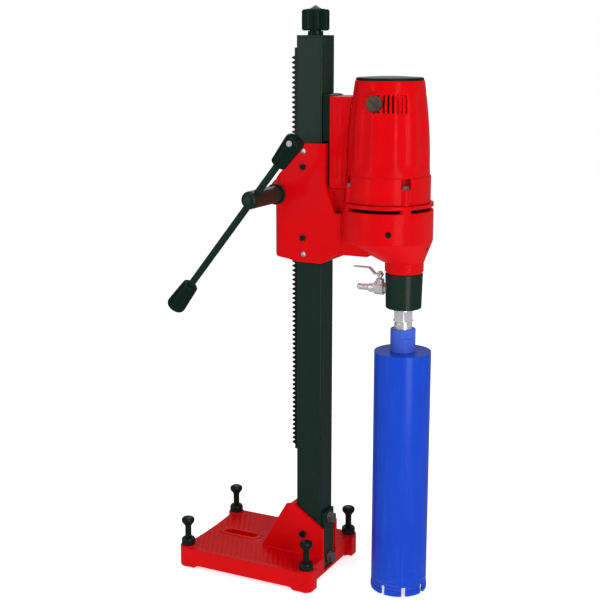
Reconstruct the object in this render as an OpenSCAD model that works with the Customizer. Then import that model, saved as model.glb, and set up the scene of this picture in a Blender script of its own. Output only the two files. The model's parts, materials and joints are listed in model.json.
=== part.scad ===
// Core drill rig: a motor head that rides on a square column and turns a thin-walled core bit.
// The column stands in a levelled base casting and is fed by a rack and a hand-turned pinion.
// Lengths are in millimetres, +Z is up and z = 0 is the floor. Within each module, X and Y are
// counted from the column's axis: +X points to the bit and -Y to the side of the feed handle.

/* [Column] */
// Side of the square column tube
column_side = 50; // [49:0.5:51]
// Wall of the column tube
column_wall = 4; // [3:0.5:6]
// Height of the column's upper end above the floor
column_top = 992; // [980:1:1000]
// Module of the rack's teeth
rack_module = 2.75; // [2.7:0.05:2.8]
// Width of the rack
rack_width = 14; // [12:1:16]
// Height of the rack's tooth tips above the column's rear face
rack_height = 18; // [17.5:0.5:18.5]
// Lowest point of the rack
rack_bottom = 237; // [230:1:245]

/* [Base] */
// Distance from the column's axis to the front pair of levelling screws
foot_front = 29; // [27:1:31]
// Distance from the column's axis to the rear pair of levelling screws
foot_rear = 223; // [218:1:228]
// Half the distance between the near and the far levelling screws
foot_side = 93; // [90:1:96]
// Radius of a foot
foot_r = 15.5; // [15:0.5:16]
// Height of the deck
deck_top = 39.5; // [38:0.5:41]
// Height of the cheeks beside the column
cheek_top = 137; // [132:1:142]
// Length of the slot for the anchor bolt
slot_length = 70; // [60:1:76]
// Width of the slot for the anchor bolt
slot_width = 17; // [14:1:18]

/* [Drive] */
// Height of the feed pinion's axis
feed_height = 720; // [716:1:724]
// Teeth on the feed pinion
pinion_teeth = 12; // [12:1:12]
// Distance from the column's axis to the spindle's axis
spindle_x = 173.2; // [172:0.2:175]
// Distance from the column's axis to the motor's axis
motor_x = 141; // [140:0.5:142]
// Teeth on the spindle gear
spindle_teeth = 44; // [44:1:44]
// Teeth on the lay shaft's pinion
lay_pinion_teeth = 12; // [12:1:12]
// Teeth on the lay shaft's gear
lay_teeth = 54; // [54:1:54]
// Teeth on the armature's pinion
armature_teeth = 12; // [12:1:12]

/* [Handle] */
// Slope of the handle bar from the horizontal, in degrees
bar_angle = 51.5; // [30:0.5:80]
// Radius of the handle bar
bar_r = 6.25; // [6:0.25:6.5]
// Length of the handle bar with its grips
bar_length = 402; // [380:1:420]
// Length of the bar above the hub, with its grip
bar_above = 138; // [130:1:180]

/* [Bit] */
// Outer radius of the core barrel
barrel_r = 50.5; // [45:0.5:51]
// Wall of the core barrel
barrel_wall = 3; // [2:0.5:3.5]
// Height of the barrel's closed end
barrel_top = 450; // [448:1:452]
// Height of the crown above the floor
crown_bottom = 3; // [2.5:0.5:4]
// Segments on the crown
segments = 8; // [6:1:10]

/* [Hidden] */
$fn = 64;
eps = 0.02;
rack_addendum = 0.7 * rack_module;
rack_pitch = PI * rack_module;
pitch_line_x = -column_side / 2 - rack_height + rack_addendum;
feed_r = rack_module * pinion_teeth / 2;
feed_x = pitch_line_x - feed_r;
rack_top = rack_bottom + 738;
guide_gap = 0.3;
guide_half = column_side / 2 + 4;
carriage_half = 40;
carriage_top = 812;
carriage_bottom = 601;
arm_end = 70;
bar_y = -126.5;
hub_end = -145.5;
hub_r = 15.6;
shaft_r = 9;
motor_flange_z = 714;
motor_top = 921;
flange_r = 73.5;
pocket_top = 760;
gear_r = 79;
collar_top = 590;
collar_bottom = 528;
collar_r = 32.5;
valve_x = 128;
valve_z = 559;
jack_r = 10;
lay_a = armature_teeth / 2 + lay_teeth / 2;
lay_module = 1.75;
lay_b = lay_module * (spindle_teeth + lay_pinion_teeth) / 2;
lay_x = (spindle_x * spindle_x - motor_x * motor_x - lay_b * lay_b + lay_a * lay_a)
    / (2 * (spindle_x - motor_x));
lay_y = sqrt(lay_a * lay_a - pow(lay_x - motor_x, 2));
lay_angle_a = atan2(lay_y, lay_x - motor_x);
lay_angle_b = atan2(-lay_y, spindle_x - lay_x);
bolt_dx = 50;
bolt_dy = 47;
box_front = 88;
box_back = 43;
box_half = 32;
box_bottom = 735.5;
box_top = 893;
brush_z = 884;
origin_shift = [6.5, 17.5, 0];

// ---- Helpers ----

// A round bar along Z from z0 to z1.
module rod_z(r, z0, z1) {
    translate([0, 0, z0]) cylinder(r = r, h = z1 - z0);
}

// A round bar along Y from y0 to y1.
module rod_y(r, y0, y1) {
    translate([0, y1, 0]) rotate([90, 0, 0]) cylinder(r = r, h = y1 - y0);
}

// A round bar along X from x0 to x1.
module rod_x(r, x0, x1) {
    translate([x0, 0, 0]) rotate([0, 90, 0]) cylinder(r = r, h = x1 - x0);
}

// A tube along Z.
module tube_z(r, bore, z0, z1) {
    difference() {
        rod_z(r, z0, z1);
        rod_z(bore, z0 - 1, z1 + 1);
    }
}

// A hexagonal head along Z, measured across its flats.
module hex_z(flats, z0, z1) {
    translate([0, 0, z0]) cylinder(r = flats / sqrt(3), h = z1 - z0, $fn = 6);
}

// A box from its lowest to its highest corner.
module block(low, high) {
    translate(low) cube(high - low);
}

// A rectangle with round corners, centred.
module round_rect(w, d, r) {
    square([w - 2 * r, d], center = true);
    square([w, d - 2 * r], center = true);
    for (sx = [-1, 1], sy = [-1, 1])
        translate([sx * (w / 2 - r), sy * (d / 2 - r)]) circle(r);
}

// A box on the side s (-1 near, 1 far) of the XZ plane, from y0 to y1 away from it.
module side_block(s, y0, y1, x0, x1, z0, z1) {
    block([x0, s > 0 ? y0 : -y1, z0], [x1, s > 0 ? y1 : -y0, z1]);
}

// A round bar along Y on the side s of the XZ plane, from y0 to y1 away from it.
module side_rod(s, r, y0, y1) {
    rod_y(r, s > 0 ? y0 : -y1, s > 0 ? y1 : -y0);
}

// An outline in the XZ plane, made into a plate that spans y0 to y1.
module side_plate(points, y0, y1) {
    translate([0, y1, 0]) rotate([90, 0, 0]) linear_extrude(y1 - y0) polygon(points);
}

// Points on a quarter-like arc for turned profiles.
function arc(cx, cy, r, a0, a1, n = 6) =
    [for (i = [0 : n]) [cx + r * cos(a0 + (a1 - a0) * i / n), cy + r * sin(a0 + (a1 - a0) * i / n)]];

// The angle, in degrees, that an involute gains from its base circle to radius r.
function involute(base, r) = r <= base ? 0 : sqrt(r * r / (base * base) - 1) * 180 / PI - acos(base / r);

// Half of a gear tooth's angle at radius r. The slack thins the tooth for running clearance.
function half_tooth(m, z, r, slack) =
    let (pitch = m * z / 2, base = pitch * cos(20))
    90 / z - slack / pitch * 180 / PI + involute(base, pitch) - involute(base, max(base, r));

// The outline of an involute spur gear with one tooth on +X.
function gear_points(m, z, add, ded, slack) =
    let (
        pitch = m * z / 2,
        base = pitch * cos(20),
        low = pitch - ded,
        high = pitch + add,
        start = max(base, low + 0.01),
        radii = concat(low < base ? [low] : [], [for (i = [0 : 4]) start + (high - start) * i / 4])
    )
    [for (t = [0 : z - 1]) each concat(
        [for (r = radii) let (a = 360 / z * t - half_tooth(m, z, r, slack)) [r * cos(a), r * sin(a)]],
        [for (i = [len(radii) - 1 : -1 : 0])
            let (r = radii[i], a = 360 / z * t + half_tooth(m, z, r, slack)) [r * cos(a), r * sin(a)]]
    )];

// A spur gear blank between z0 and z1.
module gear(m, z, z0, z1, add = 0.8, ded = 1.05, slack = 0.06) {
    translate([0, 0, z0]) linear_extrude(z1 - z0)
        polygon(gear_points(m, z, add * m, ded * m, slack * m));
}

// Radius of the motor housing at height z.
function motor_r(z) = z < 780 ? 71.3 : 71.3 - 0.00061 * pow(z - 780, 2);

// The motor housing's outer form, grown by a gap and cut off at both ends.
module motor_form(gap, z0, z1) {
    steps = 9;
    profile = [for (i = [0 : steps]) let (z = z0 + (z1 - z0) * i / steps) [motor_r(z) + gap, z]];
    rotate_extrude() polygon(concat([[0, z0]], profile, [[0, z1]]));
}

// Children at each corner of the base.
module each_foot() {
    for (x = [-foot_rear, foot_front], y = [-foot_side, foot_side])
        translate([x, y, 0]) children();
}

// Children in the motor bolts' four places.
module each_motor_bolt() {
    for (sx = [-1, 1], sy = [-1, 1])
        translate([motor_x + sx * bolt_dx, sy * bolt_dy, 0]) children();
}

// Children laid along the handle bar: their +Z runs up the bar from the hub.
module along_bar() {
    translate([feed_x, bar_y, feed_height]) rotate([0, 90 - bar_angle, 0]) children();
}

// ---- Base ----

cheek_inner = column_side / 2 + 0.1;
cheek_outer = 32;
bolt_low = 30;
bolt_high = 110;
cheek_screw_z = 80;

// A foot with a rounded sole.
module foot() {
    rotate_extrude() polygon(concat(
        [[0, 0]], arc(foot_r - 5, 5, 5, -90, 0), arc(foot_r - 1.5, deck_top + 1.5, 1.5, 0, 90, 3),
        [[0, deck_top + 3]]));
}

// The deck's outline: flush with the feet at both sides, drawn in at the rear, open in front of the column.
module deck_outline(inset) {
    r = foot_r - 0.5 - inset;
    difference() {
        translate([(foot_front - foot_rear) / 2, 0])
            round_rect(foot_rear + foot_front + 2 * r, 2 * (foot_side + r), r);
        translate([-foot_rear - 904 + inset, 0]) circle(900, $fn = 360);
        translate([54 - inset, 0]) square([40, 2 * (foot_side - foot_r + 2 * inset)], center = true);
    }
}

// The low arch between two feet that stand at -a and b.
module skirt_arch(a, b) {
    translate([(b - a) / 2, -13]) round_rect(a + b - 2 * foot_r - 4, 40, 14);
}

// The slanting grip ribs on the deck.
module grip_ribs() {
    intersection() {
        translate([0, 0, deck_top - 0.5]) linear_extrude(1.5) difference() {
            deck_outline(9);
            translate([-50, 0]) square([150, 2 * cheek_outer + 5], center = true);
            translate([-160, 0]) round_rect(slot_length + 24, slot_width + 20, 12);
            for (x = [-foot_rear, foot_front], y = [-foot_side, foot_side]) translate([x, y]) circle(22);
        }
        for (i = [-14 : 14])
            translate([-100 + i * 10.5, 0, deck_top - 1]) rotate([0, 0, 26.7])
                translate([-1.6, -130, 0]) cube([3.2, 260, 3]);
    }
}

module base_casting() {
    color("red") difference() {
        union() {
            difference() {
                translate([0, 0, 2]) linear_extrude(deck_top - 2) deck_outline(0);
                rotate([90, 0, 0]) linear_extrude(300, center = true) skirt_arch(foot_rear, foot_front);
                rotate([90, 0, 90]) linear_extrude(600, center = true) skirt_arch(foot_side, foot_side);
            }
            each_foot() foot();
            grip_ribs();
            side_plate([[33, 10], [33, 95], [-28, cheek_top], [-44, cheek_top - 3], [-66, 96],
                [-97, deck_top - 1], [-97, 10]], -cheek_outer, cheek_outer);
            translate([-160, 0, deck_top - 1]) linear_extrude(3)
                round_rect(slot_length + 16, slot_width + 14, 12);
        }
        // Column pocket, open to the front, with a rear web behind it
        block([-column_side / 2 - 0.1, -cheek_inner, 12], [60, cheek_inner, 200]);
        block([-80, -cheek_inner, 60], [-column_side / 2 - 12, cheek_inner, 200]);
        block([-120, -cheek_inner, deck_top + 2], [-column_side / 2 - 12, cheek_inner, 200]);
        // Hollows under the deck, split by ribs
        for (s = [-1, 1]) {
            side_block(s, 19, foot_side - 9, -foot_rear + 24, -118, -1, deck_top - 9);
            side_block(s, 38, foot_side - 9, -110, -16, -1, deck_top - 9);
        }
        // Anchor slot
        translate([-160, 0, -1]) linear_extrude(60) union() {
            square([slot_length - slot_width, slot_width], center = true);
            for (s = [-1, 1]) translate([s * (slot_length - slot_width) / 2, 0]) circle(slot_width / 2);
        }
        each_foot() rod_z(6.05, -1, 60);
        // Threads for the column's bolts and the cheek screws
        for (z = [bolt_low, bolt_high]) translate([0, 0, z]) rod_x(6.05, -60, 0);
        for (s = [-1, 1]) translate([-8, 0, cheek_screw_z]) side_rod(s, 4.05, 20, 40);
    }
}

module clamp_plate() {
    color([0.1, 0.12, 0.11]) difference() {
        block([column_side / 2 + 0.05, -20, 12], [column_side / 2 + 6, 20, 124]);
        for (z = [bolt_low, bolt_high]) translate([0, 0, z]) rod_x(6.05, 0, 60);
    }
}

// Hexagon bolts with washers that draw the column back against the base's web.
module clamp_bolts() {
    color([0.35, 0.36, 0.36]) for (z = [bolt_low, bolt_high]) translate([0, 0, z]) {
        rod_x(6, -column_side / 2 - 11, column_side / 2 + 8);
        rod_x(11, column_side / 2 + 6.05, column_side / 2 + 8.5);
        translate([column_side / 2 + 8.5, 0, 0]) rotate([0, 90, 0]) cylinder(r = 10.4, h = 8, $fn = 6);
    }
}

module cheek_screws() {
    color([0.12, 0.12, 0.12]) for (s = [-1, 1]) translate([-8, s * (column_side / 2 + 4), cheek_screw_z])
        rotate([-s * 90, 0, 0]) difference() {
            union() {
                translate([0, 0, -8.5]) cylinder(r = 4, h = 12);
                translate([0, 0, 3.1]) cylinder(r = 6.5, h = 4.4);
            }
            translate([0, 0, 4]) cylinder(r = 3.4, h = 6, $fn = 6);
        }
}

module lock_nuts() {
    color([0.08, 0.1, 0.09]) each_foot() difference() {
        rotate_extrude() polygon([[0, deck_top + 3.05], [12.6, deck_top + 3.05], [13, deck_top + 4.5],
            [13, deck_top + 13], [11.5, deck_top + 16], [0, deck_top + 16]]);
        rod_z(6.05, 0, 80);
    }
}

// A levelling screw: pointed below, with a mushroom head.
module levelling_screw(x, y) {
    color([0.08, 0.1, 0.09]) translate([x, y, 0]) rotate_extrude() polygon(concat(
        [[0, 8], [3, 9], [6, 14], [6, 80], [9, 84.5], [11.5, 86.5]],
        arc(8.5, 92, 4, -30, 80), [[5, 97.6], [0, 98]]));
}

module screw_near_rear() {
    levelling_screw(-foot_rear, -foot_side);
}

module screw_far_rear() {
    levelling_screw(-foot_rear, foot_side);
}

module screw_near_front() {
    levelling_screw(foot_front, -foot_side);
}

module screw_far_front() {
    levelling_screw(foot_front, foot_side);
}

// ---- Column ----

rack_screw_count = 6;
rack_screw_teeth = 15;
rack_gap_z = feed_height - round((feed_height - rack_bottom - 30) / rack_pitch) * rack_pitch;

// Children at each of the rack's screws, which sit in tooth gaps.
module each_rack_screw() {
    for (i = [0 : rack_screw_count - 1])
        translate([0, 0, rack_gap_z + i * rack_screw_teeth * rack_pitch]) children();
}

module column_tube() {
    color([0.1, 0.16, 0.14]) difference() {
        translate([0, 0, 12.05]) linear_extrude(column_top - 12.05) difference() {
            round_rect(column_side, column_side, 3);
            square(column_side - 2 * column_wall, center = true);
        }
        for (z = [bolt_low, bolt_high]) translate([0, 0, z]) rod_x(6.05, -40, 40);
        for (s = [-1, 1]) translate([-8, 0, cheek_screw_z]) side_rod(s, 4.05, 10, 40);
        each_rack_screw() rod_x(2.55, -40, 0);
    }
}

function rack_points() =
    let (
        tip = -column_side / 2 - rack_height,
        root = pitch_line_x + 1.3 * rack_module,
        slack = 0.12,
        tip_half = rack_pitch / 4 - rack_addendum * tan(20) - slack,
        root_half = rack_pitch / 4 + (root - pitch_line_x) * tan(20) - slack,
        first = ceil((rack_bottom + 6 - feed_height) / rack_pitch),
        last = floor((rack_top - 6 - feed_height) / rack_pitch) - 1
    )
    concat(
        [[-column_side / 2 - 0.02, rack_bottom], [root, rack_bottom]],
        [for (i = [first : last]) let (z = feed_height + (i + 0.5) * rack_pitch) each
            [[root, z - root_half], [tip, z - tip_half], [tip, z + tip_half], [root, z + root_half]]],
        [[root, rack_top], [-column_side / 2 - 0.02, rack_top]]);

module toothed_rack() {
    color([0.07, 0.09, 0.08]) difference() {
        side_plate(rack_points(), -rack_width / 2, rack_width / 2);
        each_rack_screw() {
            rod_x(2.6, -60, 0);
            rod_x(3.6, -60, -column_side / 2 - 6);
        }
    }
}

module rack_screws() {
    color([0.25, 0.25, 0.25]) each_rack_screw() difference() {
        union() {
            rod_x(2.5, -column_side / 2 - 6.5, -column_side / 2 + column_wall);
            rod_x(3.55, -column_side / 2 - 9.5, -column_side / 2 - 6.05);
        }
        translate([-column_side / 2 - 10, 0, 0]) rotate([0, 90, 0]) cylinder(r = 1.6, h = 2.5, $fn = 6);
    }
}

module column_cap() {
    color([0.1, 0.13, 0.12]) difference() {
        union() {
            translate([0, 0, column_top + 0.02]) linear_extrude(4) round_rect(column_side, column_side, 3);
            translate([0, 0, column_top - 24]) linear_extrude(24.1)
                round_rect(column_side - 2 * column_wall - 0.1, column_side - 2 * column_wall - 0.1, 2);
            rod_z(13.5, column_top + 4, column_top + 11);
        }
        rod_z(jack_r + 0.05, column_top - 30, column_top + 20);
    }
}

// ---- Top jack ----

knob_low = column_top + 11.6;
knob_high = 1040.5;
jack_tip = 1046.5;

module jack_screw() {
    color([0.3, 0.31, 0.3]) difference() {
        rotate_extrude() polygon([[0, 880], [jack_r - 2, 880], [jack_r, 882], [jack_r, knob_high + 0.5],
            [7, knob_high + 2.5], [1.2, jack_tip], [0, jack_tip]]);
        translate([0, 0, (knob_low + knob_high) / 2]) rod_x(2.52, -12, 12);
    }
}

module jack_knob() {
    lobes = 6;
    color([0.06, 0.08, 0.07]) difference() {
        union() {
            rod_z(20.5, knob_low, knob_high - 1);
            for (i = [0 : lobes - 1]) rotate([0, 0, i * 360 / lobes + 3]) translate([18.8, 0, 0]) {
                rod_z(6.8, knob_low + 2, knob_high - 3);
                rod_z(5.2, knob_low, knob_high - 1);
            }
            rod_z(16, knob_high - 2, knob_high);
        }
        rod_z(jack_r + eps, 980, 1060);
        translate([0, 0, (knob_low + knob_high) / 2]) rod_x(2.52, -30, 30);
    }
}

module jack_pin() {
    color([0.5, 0.5, 0.5]) translate([0, 0, (knob_low + knob_high) / 2]) rod_x(2.5, -19, 19);
}

// ---- Carriage ----

pad_len = 46;
pad_low = carriage_bottom + 6;
pad_high = carriage_top - 6 - pad_len;
gib_x = -3;
gib_z = [carriage_bottom + 14.5, carriage_top - 14.5];
pad_screw_z = [carriage_bottom + 43.5, carriage_top - 41.5];
head_bolt_y = 25;
head_bolt_z = [642, 664];
head_bolt_end = arm_end + 15;

// Children along the axis of each bolt that holds the gearbox to the carriage's arm.
module each_head_bolt() {
    for (s = [-1, 1], z = head_bolt_z) translate([0, s * head_bolt_y, z]) children();
}

// The carriage's outline seen from the side.
function carriage_profile() = concat(
    [[38, carriage_top], [-1, carriage_top]],
    [[-9, 805], [-12, 797]],
    [[-66, 743], [-66, 622]],
    arc(-56, 617, 10, 180, 255, 4),
    [[-40, 605.5], [-16, carriage_bottom], [31, carriage_bottom], [40, 604.5], [50, 613], [60, 619.5]],
    [[arm_end, 620], [arm_end, 692], [56, 692], [51, 706], [38, 740]]);

module carriage_plan() {
    difference() {
        translate([-66, -carriage_half]) square([66 + arm_end, 2 * carriage_half]);
        for (s = [-1, 1]) translate([-66, s * carriage_half]) square([40, 40], center = true);
    }
    for (s = [-1, 1]) translate([-46, s * (carriage_half - 20)]) circle(20);
}

module carriage_housing() {
    color("red") difference() {
        union() {
            intersection() {
                side_plate(carriage_profile(), -carriage_half, carriage_half);
                translate([0, 0, 590]) linear_extrude(240) carriage_plan();
            }
            translate([feed_x, 0, feed_height]) {
                rod_y(19.5, -carriage_half, carriage_half);
                rod_y(27, -15, 15);
            }
            block([30, -25, 690], [arm_end, 25, box_bottom - 0.5]);
        }
        block([-guide_half, -guide_half, 500], [guide_half, guide_half, 900]);
        block([-49, -rack_width / 2 - 3, 500], [0, rack_width / 2 + 3, 900]);
        translate([feed_x, 0, feed_height]) {
            rod_y(22.5, -11.5, 11.5);
            rod_y(12 + eps, -60, 60);
        }
        // Hollow of the arm, open below, for the head's bolts
        block([42, -33, 590], [arm_end - 9, 33, 686 + 8]);
        each_head_bolt() rod_x(5.1, 50, 80);
        translate([motor_x, 0, 0]) rod_z(flange_r + 0.15, motor_flange_z, 760);
        for (s = [-1, 1]) {
            for (z = gib_z) translate([gib_x, 0, z]) side_rod(s, 4.05, 20, 60);
            for (z = pad_screw_z) translate([gib_x - 1.5, 0, z]) side_rod(s, 3.05, 20, 60);
        }
    }
}

// Four polymer pads around the column from height z0; the rear pair leaves room for the rack.
module pad_set(z0) {
    inner = column_side / 2 + guide_gap;
    outer = guide_half - 0.02;
    block([inner, -22, z0], [outer, 22, z0 + pad_len]);
    for (s = [-1, 1]) {
        side_block(s, inner, outer, -22, 22, z0, z0 + pad_len);
        side_block(s, 11, 22, -outer, -inner, z0, z0 + pad_len);
    }
}

module guide_pads() {
    color([0.82, 0.8, 0.72]) {
        pad_set(pad_high);
        pad_set(pad_low);
    }
}

module gib_screws() {
    color([0.85, 0.85, 0.83]) for (s = [-1, 1], z = gib_z) translate([gib_x, s * guide_half, z])
        rotate([-s * 90, 0, 0]) {
            translate([0, 0, 0.05]) cylinder(r = 4, h = 12);
            translate([0, 0, 11.05]) rotate_extrude() polygon(
                [[0, 0], [4.8, 0], [4.8, 1.8], [3.9, 3.2], [2.3, 4.2], [0, 4.6]]);
        }
}

module pad_screws() {
    color([0.1, 0.1, 0.1]) for (s = [-1, 1], z = pad_screw_z) translate([gib_x - 1.5, s * guide_half, z])
        rotate([-s * 90, 0, 0]) difference() {
            union() {
                translate([0, 0, 0.05]) cylinder(r = 3, h = 11.5);
                translate([0, 0, 11.05]) cylinder(r = 5.4, h = 3);
            }
            translate([0, 0, 11.5]) cylinder(r = 2.8, h = 5, $fn = 6);
        }
}

// ---- Feed ----

module feed_bushes() {
    color([0.72, 0.55, 0.3]) translate([feed_x, 0, feed_height]) for (s = [-1, 1]) difference() {
        side_rod(s, 12, 12, 39.5);
        rod_y(shaft_r + 0.05, -60, 60);
    }
}

// A ring around the handle's hub on the near side and a closed cap on the far side.
module bearing_caps() {
    color([0.07, 0.08, 0.08]) translate([feed_x, 0, feed_height]) {
        difference() {
            rod_y(19, -carriage_half - 4.5, -carriage_half - 0.02);
            rod_y(hub_r + 0.6, -60, 0);
        }
        rod_y(19, carriage_half + 0.02, carriage_half + 4);
        rod_y(13, carriage_half + 3.9, carriage_half + 6);
    }
}

module feed_shaft() {
    color([0.6, 0.6, 0.6]) translate([feed_x, 0, feed_height]) difference() {
        rod_y(shaft_r, -94, 38.8);
        translate([0, -62, 0]) rod_z(3.02, -20, 20);
    }
}

module feed_pinion() {
    color([0.45, 0.46, 0.46]) translate([feed_x, 0, feed_height]) difference() {
        rotate([90, 0, 0]) translate([0, 0, -11]) linear_extrude(22)
            polygon(gear_points(rack_module, pinion_teeth, 0.95 * rack_module, 0.95 * rack_module, 0.1));
        rod_y(shaft_r + eps, -20, 20);
    }
}

// The hub: a domed steel sleeve with the cross hole that the handle bar slides in.
module handle_hub() {
    color([0.12, 0.15, 0.13]) difference() {
        translate([feed_x, 0, feed_height]) difference() {
            rotate([90, 0, 0]) rotate_extrude() polygon(concat(
                [[0, carriage_half + 0.6], [hub_r, carriage_half + 0.6]],
                arc(hub_r - 9, -hub_end - 9, 9, 0, 90), [[0, -hub_end]]));
            rod_y(shaft_r + eps, -94.5, 0);
            translate([0, -62, 0]) rod_z(3.02, -30, 30);
        }
        along_bar() rod_z(bar_r + 0.05, -40, 40);
    }
}

module hub_pin() {
    color([0.5, 0.5, 0.5]) translate([feed_x, -62, feed_height]) rod_z(3, -14.5, 14.5);
}

grip_length = 59;
grip_pin_z = bar_above - 11;

module handle_bar() {
    color([0.1, 0.13, 0.12]) along_bar() difference() {
        rod_z(bar_r, bar_above - bar_length + 5, bar_above - 5);
        translate([0, 0, grip_pin_z]) rod_y(2.52, -20, 20);
    }
}

// A tapered grip with a rounded outer end, its open end on the XY plane.
module grip() {
    difference() {
        rotate_extrude() polygon(concat([[0, 0], [12.6, 0], [14.4, 1.8], [17.4, grip_length - 12]],
            arc(9.4, grip_length - 8, 8, 0, 90), [[0, grip_length]]));
        rod_z(bar_r + eps, -1, grip_length - 4.98);
    }
}

module upper_grip() {
    color([0.05, 0.07, 0.06]) along_bar() difference() {
        translate([0, 0, bar_above - grip_length]) grip();
        translate([0, 0, grip_pin_z]) rod_y(2.52, -30, 30);
        translate([0, 0, grip_pin_z]) for (s = [-1, 1]) side_rod(s, 5.2, 14, 30);
    }
}

module lower_grip() {
    color([0.05, 0.07, 0.06]) along_bar()
        translate([0, 0, bar_above - bar_length + grip_length]) rotate([180, 0, 0]) grip();
}

module grip_pin() {
    color([0.9, 0.9, 0.88]) along_bar() translate([0, 0, grip_pin_z]) {
        rod_y(2.5, -14, 14);
        for (s = [-1, 1]) side_rod(s, 5.15, 14, 17.4);
    }
}

// ---- Motor head ----

nose_r = 34;
loft_top = 648;
loft_low = 612;
floor_z = 634;
plate_low = 678;
plate_high = 690;
vent_slots = 8;
vent_low = 701.5;
vent_high = 707.5;
room_r = 70;
spindle_room_r = 42.5;
bolt_boss_r = 9.5;
pocket_r = 9;

// The gearbox's round body, drawn in below to the spindle's nose.
module gear_form() {
    translate([motor_x, 0, 0]) rod_z(gear_r, loft_top, motor_flange_z);
    hull() {
        translate([motor_x, 0, loft_top - 0.5]) cylinder(r = gear_r, h = 0.5, $fn = 96);
        translate([170, 0, loft_low]) cylinder(r = 38, h = 0.5, $fn = 96);
    }
    translate([spindle_x, 0, 0]) rotate_extrude() polygon(
        [[0, 650], [nose_r, 650], [nose_r, collar_top + 5], [nose_r - 3, collar_top + 0.05],
        [0, collar_top + 0.05]]);
}

module gearbox_housing() {
    color("red") difference() {
        union() {
            gear_form();
            block([arm_end + 0.02, -carriage_half, 619.5], [120, carriage_half, 692]);
            block([arm_end + 0.02, -25, 640], [120, 25, 713]);
        }
        // Room for the gears and for the fan, around the motor bolts' bosses
        difference() {
            translate([motor_x, 0, 0]) rod_z(room_r, floor_z + 20, 720);
            each_motor_bolt() rod_z(bolt_boss_r, plate_high + 0.05, 721);
            each_head_bolt() rod_x(9.5, arm_end - 5, head_bolt_end + 2);
        }
        block([0, -100, 500], [arm_end + 0.02, 100, 800]);
        translate([motor_x, 0, 0]) rod_z(58, floor_z + 4, floor_z + 21);
        translate([spindle_x, 0, 0]) rod_z(spindle_room_r, floor_z, 700);
        translate([lay_x, lay_y, 0]) {
            rod_z(15, floor_z, floor_z + 21);
            rod_z(11 + eps, floor_z - 8, floor_z + 1);
        }
        // Seat of the spindle's lower bearing and the way out
        translate([spindle_x, 0, 0]) {
            rod_z(26 + eps, collar_top - 5, collar_top + 24);
            rod_z(20, collar_top, floor_z + 5);
        }
        // Threads for the head's bolts
        each_head_bolt() rod_x(5.05, 60, head_bolt_end + 1);
        // Air outlets between the motor bolts
        translate([motor_x, 0, 0]) difference() {
            rod_z(gear_r + 12, vent_low, vent_high);
            for (sx = [-1, 1], sy = [-1, 1]) translate([sx * bolt_dx, sy * bolt_dy, 0])
                rod_z(bolt_boss_r + 1.5, 600, 800);
            block([-110, -27, 600], [-40, 27, 800]);
        }
        each_motor_bolt() rod_z(4.05, 690, 720);
        translate([motor_x, 0, 667]) rotate([0, 0, -66.9]) rod_x(5.05, 60, 100);
    }
}

module head_bolts() {
    color([0.2, 0.2, 0.2]) each_head_bolt() difference() {
        union() {
            rod_x(5, arm_end - 9.5, head_bolt_end);
            rod_x(8, arm_end - 18, arm_end - 9.05);
        }
        translate([arm_end - 19, 0, 0]) rotate([0, 90, 0]) cylinder(r = 4.6, h = 6, $fn = 6);
    }
}

module oil_plug() {
    color([0.08, 0.08, 0.08]) translate([motor_x, 0, 667]) rotate([0, 0, -66.9]) difference() {
        rod_x(5, gear_r - 8, gear_r + 0.6);
        translate([gear_r - 4, 0, 0]) rotate([0, 90, 0]) cylinder(r = 3, h = 8, $fn = 6);
    }
}

// The plate that closes the gear room and carries the upper bearings.
module bearing_plate() {
    color([0.6, 0.61, 0.62]) difference() {
        union() {
            translate([motor_x, 0, 0]) rod_z(room_r - eps, plate_low, plate_high);
            translate([spindle_x, 0, 0]) rod_z(spindle_room_r - eps, plate_low, plate_high);
        }
        translate([motor_x, 0, 0]) {
            rod_z(14 + eps, plate_low + 2, plate_high + 1);
            rod_z(9, 600, 800);
        }
        translate([spindle_x, 0, 0]) rod_z(14 + eps, plate_low - 1, plate_high - 3);
        translate([lay_x, lay_y, 0]) rod_z(11 + eps, plate_low - 1, plate_high - 3);
    }
}

// The motor's shell with its bolt flange; the box beside it covers a cable window.
module motor_housing() {
    color("red") difference() {
        union() {
            translate([motor_x, 0, 0]) {
                motor_form(0, 755, motor_top);
                rod_z(flange_r, motor_flange_z + 0.05, pocket_top);
                translate([0, 0, brush_z]) rod_y(17, -68, 68);
            }
            each_motor_bolt() rod_z(bolt_boss_r, motor_flange_z + 0.05, 742);
        }
        translate([motor_x, 0, 0]) {
            difference() {
                rod_z(64.5, 700, 848);
                translate([-motor_x, 0, 0]) each_motor_bolt() rod_z(pocket_r + 3, 690, pocket_top + 3);
            }
            rod_z(55, 840, 905);
            rod_z(13 + eps, 900, 911);
            rod_z(54, 912.5, 930);
            translate([0, 0, brush_z]) {
                rod_y(12 + eps, -80, 80);
                for (s = [-1, 1]) side_rod(s, 14.3, 62, 80);
            }
            for (s = [-1, 1], i = [0 : vent_slots - 1]) rotate([0, 0, s * (66 - (i - 3.5) * 7)])
                block([45, -1.5, 868], [75, 1.5, 898]);
            block([-90, -12, 800], [-50, 12, 830]);
        }
        each_motor_bolt() {
            rod_z(4.05, 700, 745);
            rod_z(pocket_r, 742, pocket_top);
        }
    }
}

module motor_cap() {
    color([0.15, 0.05, 0.05]) translate([motor_x, 0, 0]) rotate_extrude() polygon(concat(
        [[0, motor_top + 0.05], [58, motor_top + 0.05]], arc(55.5, motor_top + 2.4, 2.4, 0, 80, 4),
        [[30, motor_top + 6.2], [0, motor_top + 6.8]]));
}

module motor_bolts() {
    color([0.45, 0.45, 0.43]) each_motor_bolt() {
        rod_z(4, 697, 743);
        hex_z(13, 742.05, 748);
    }
}

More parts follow.
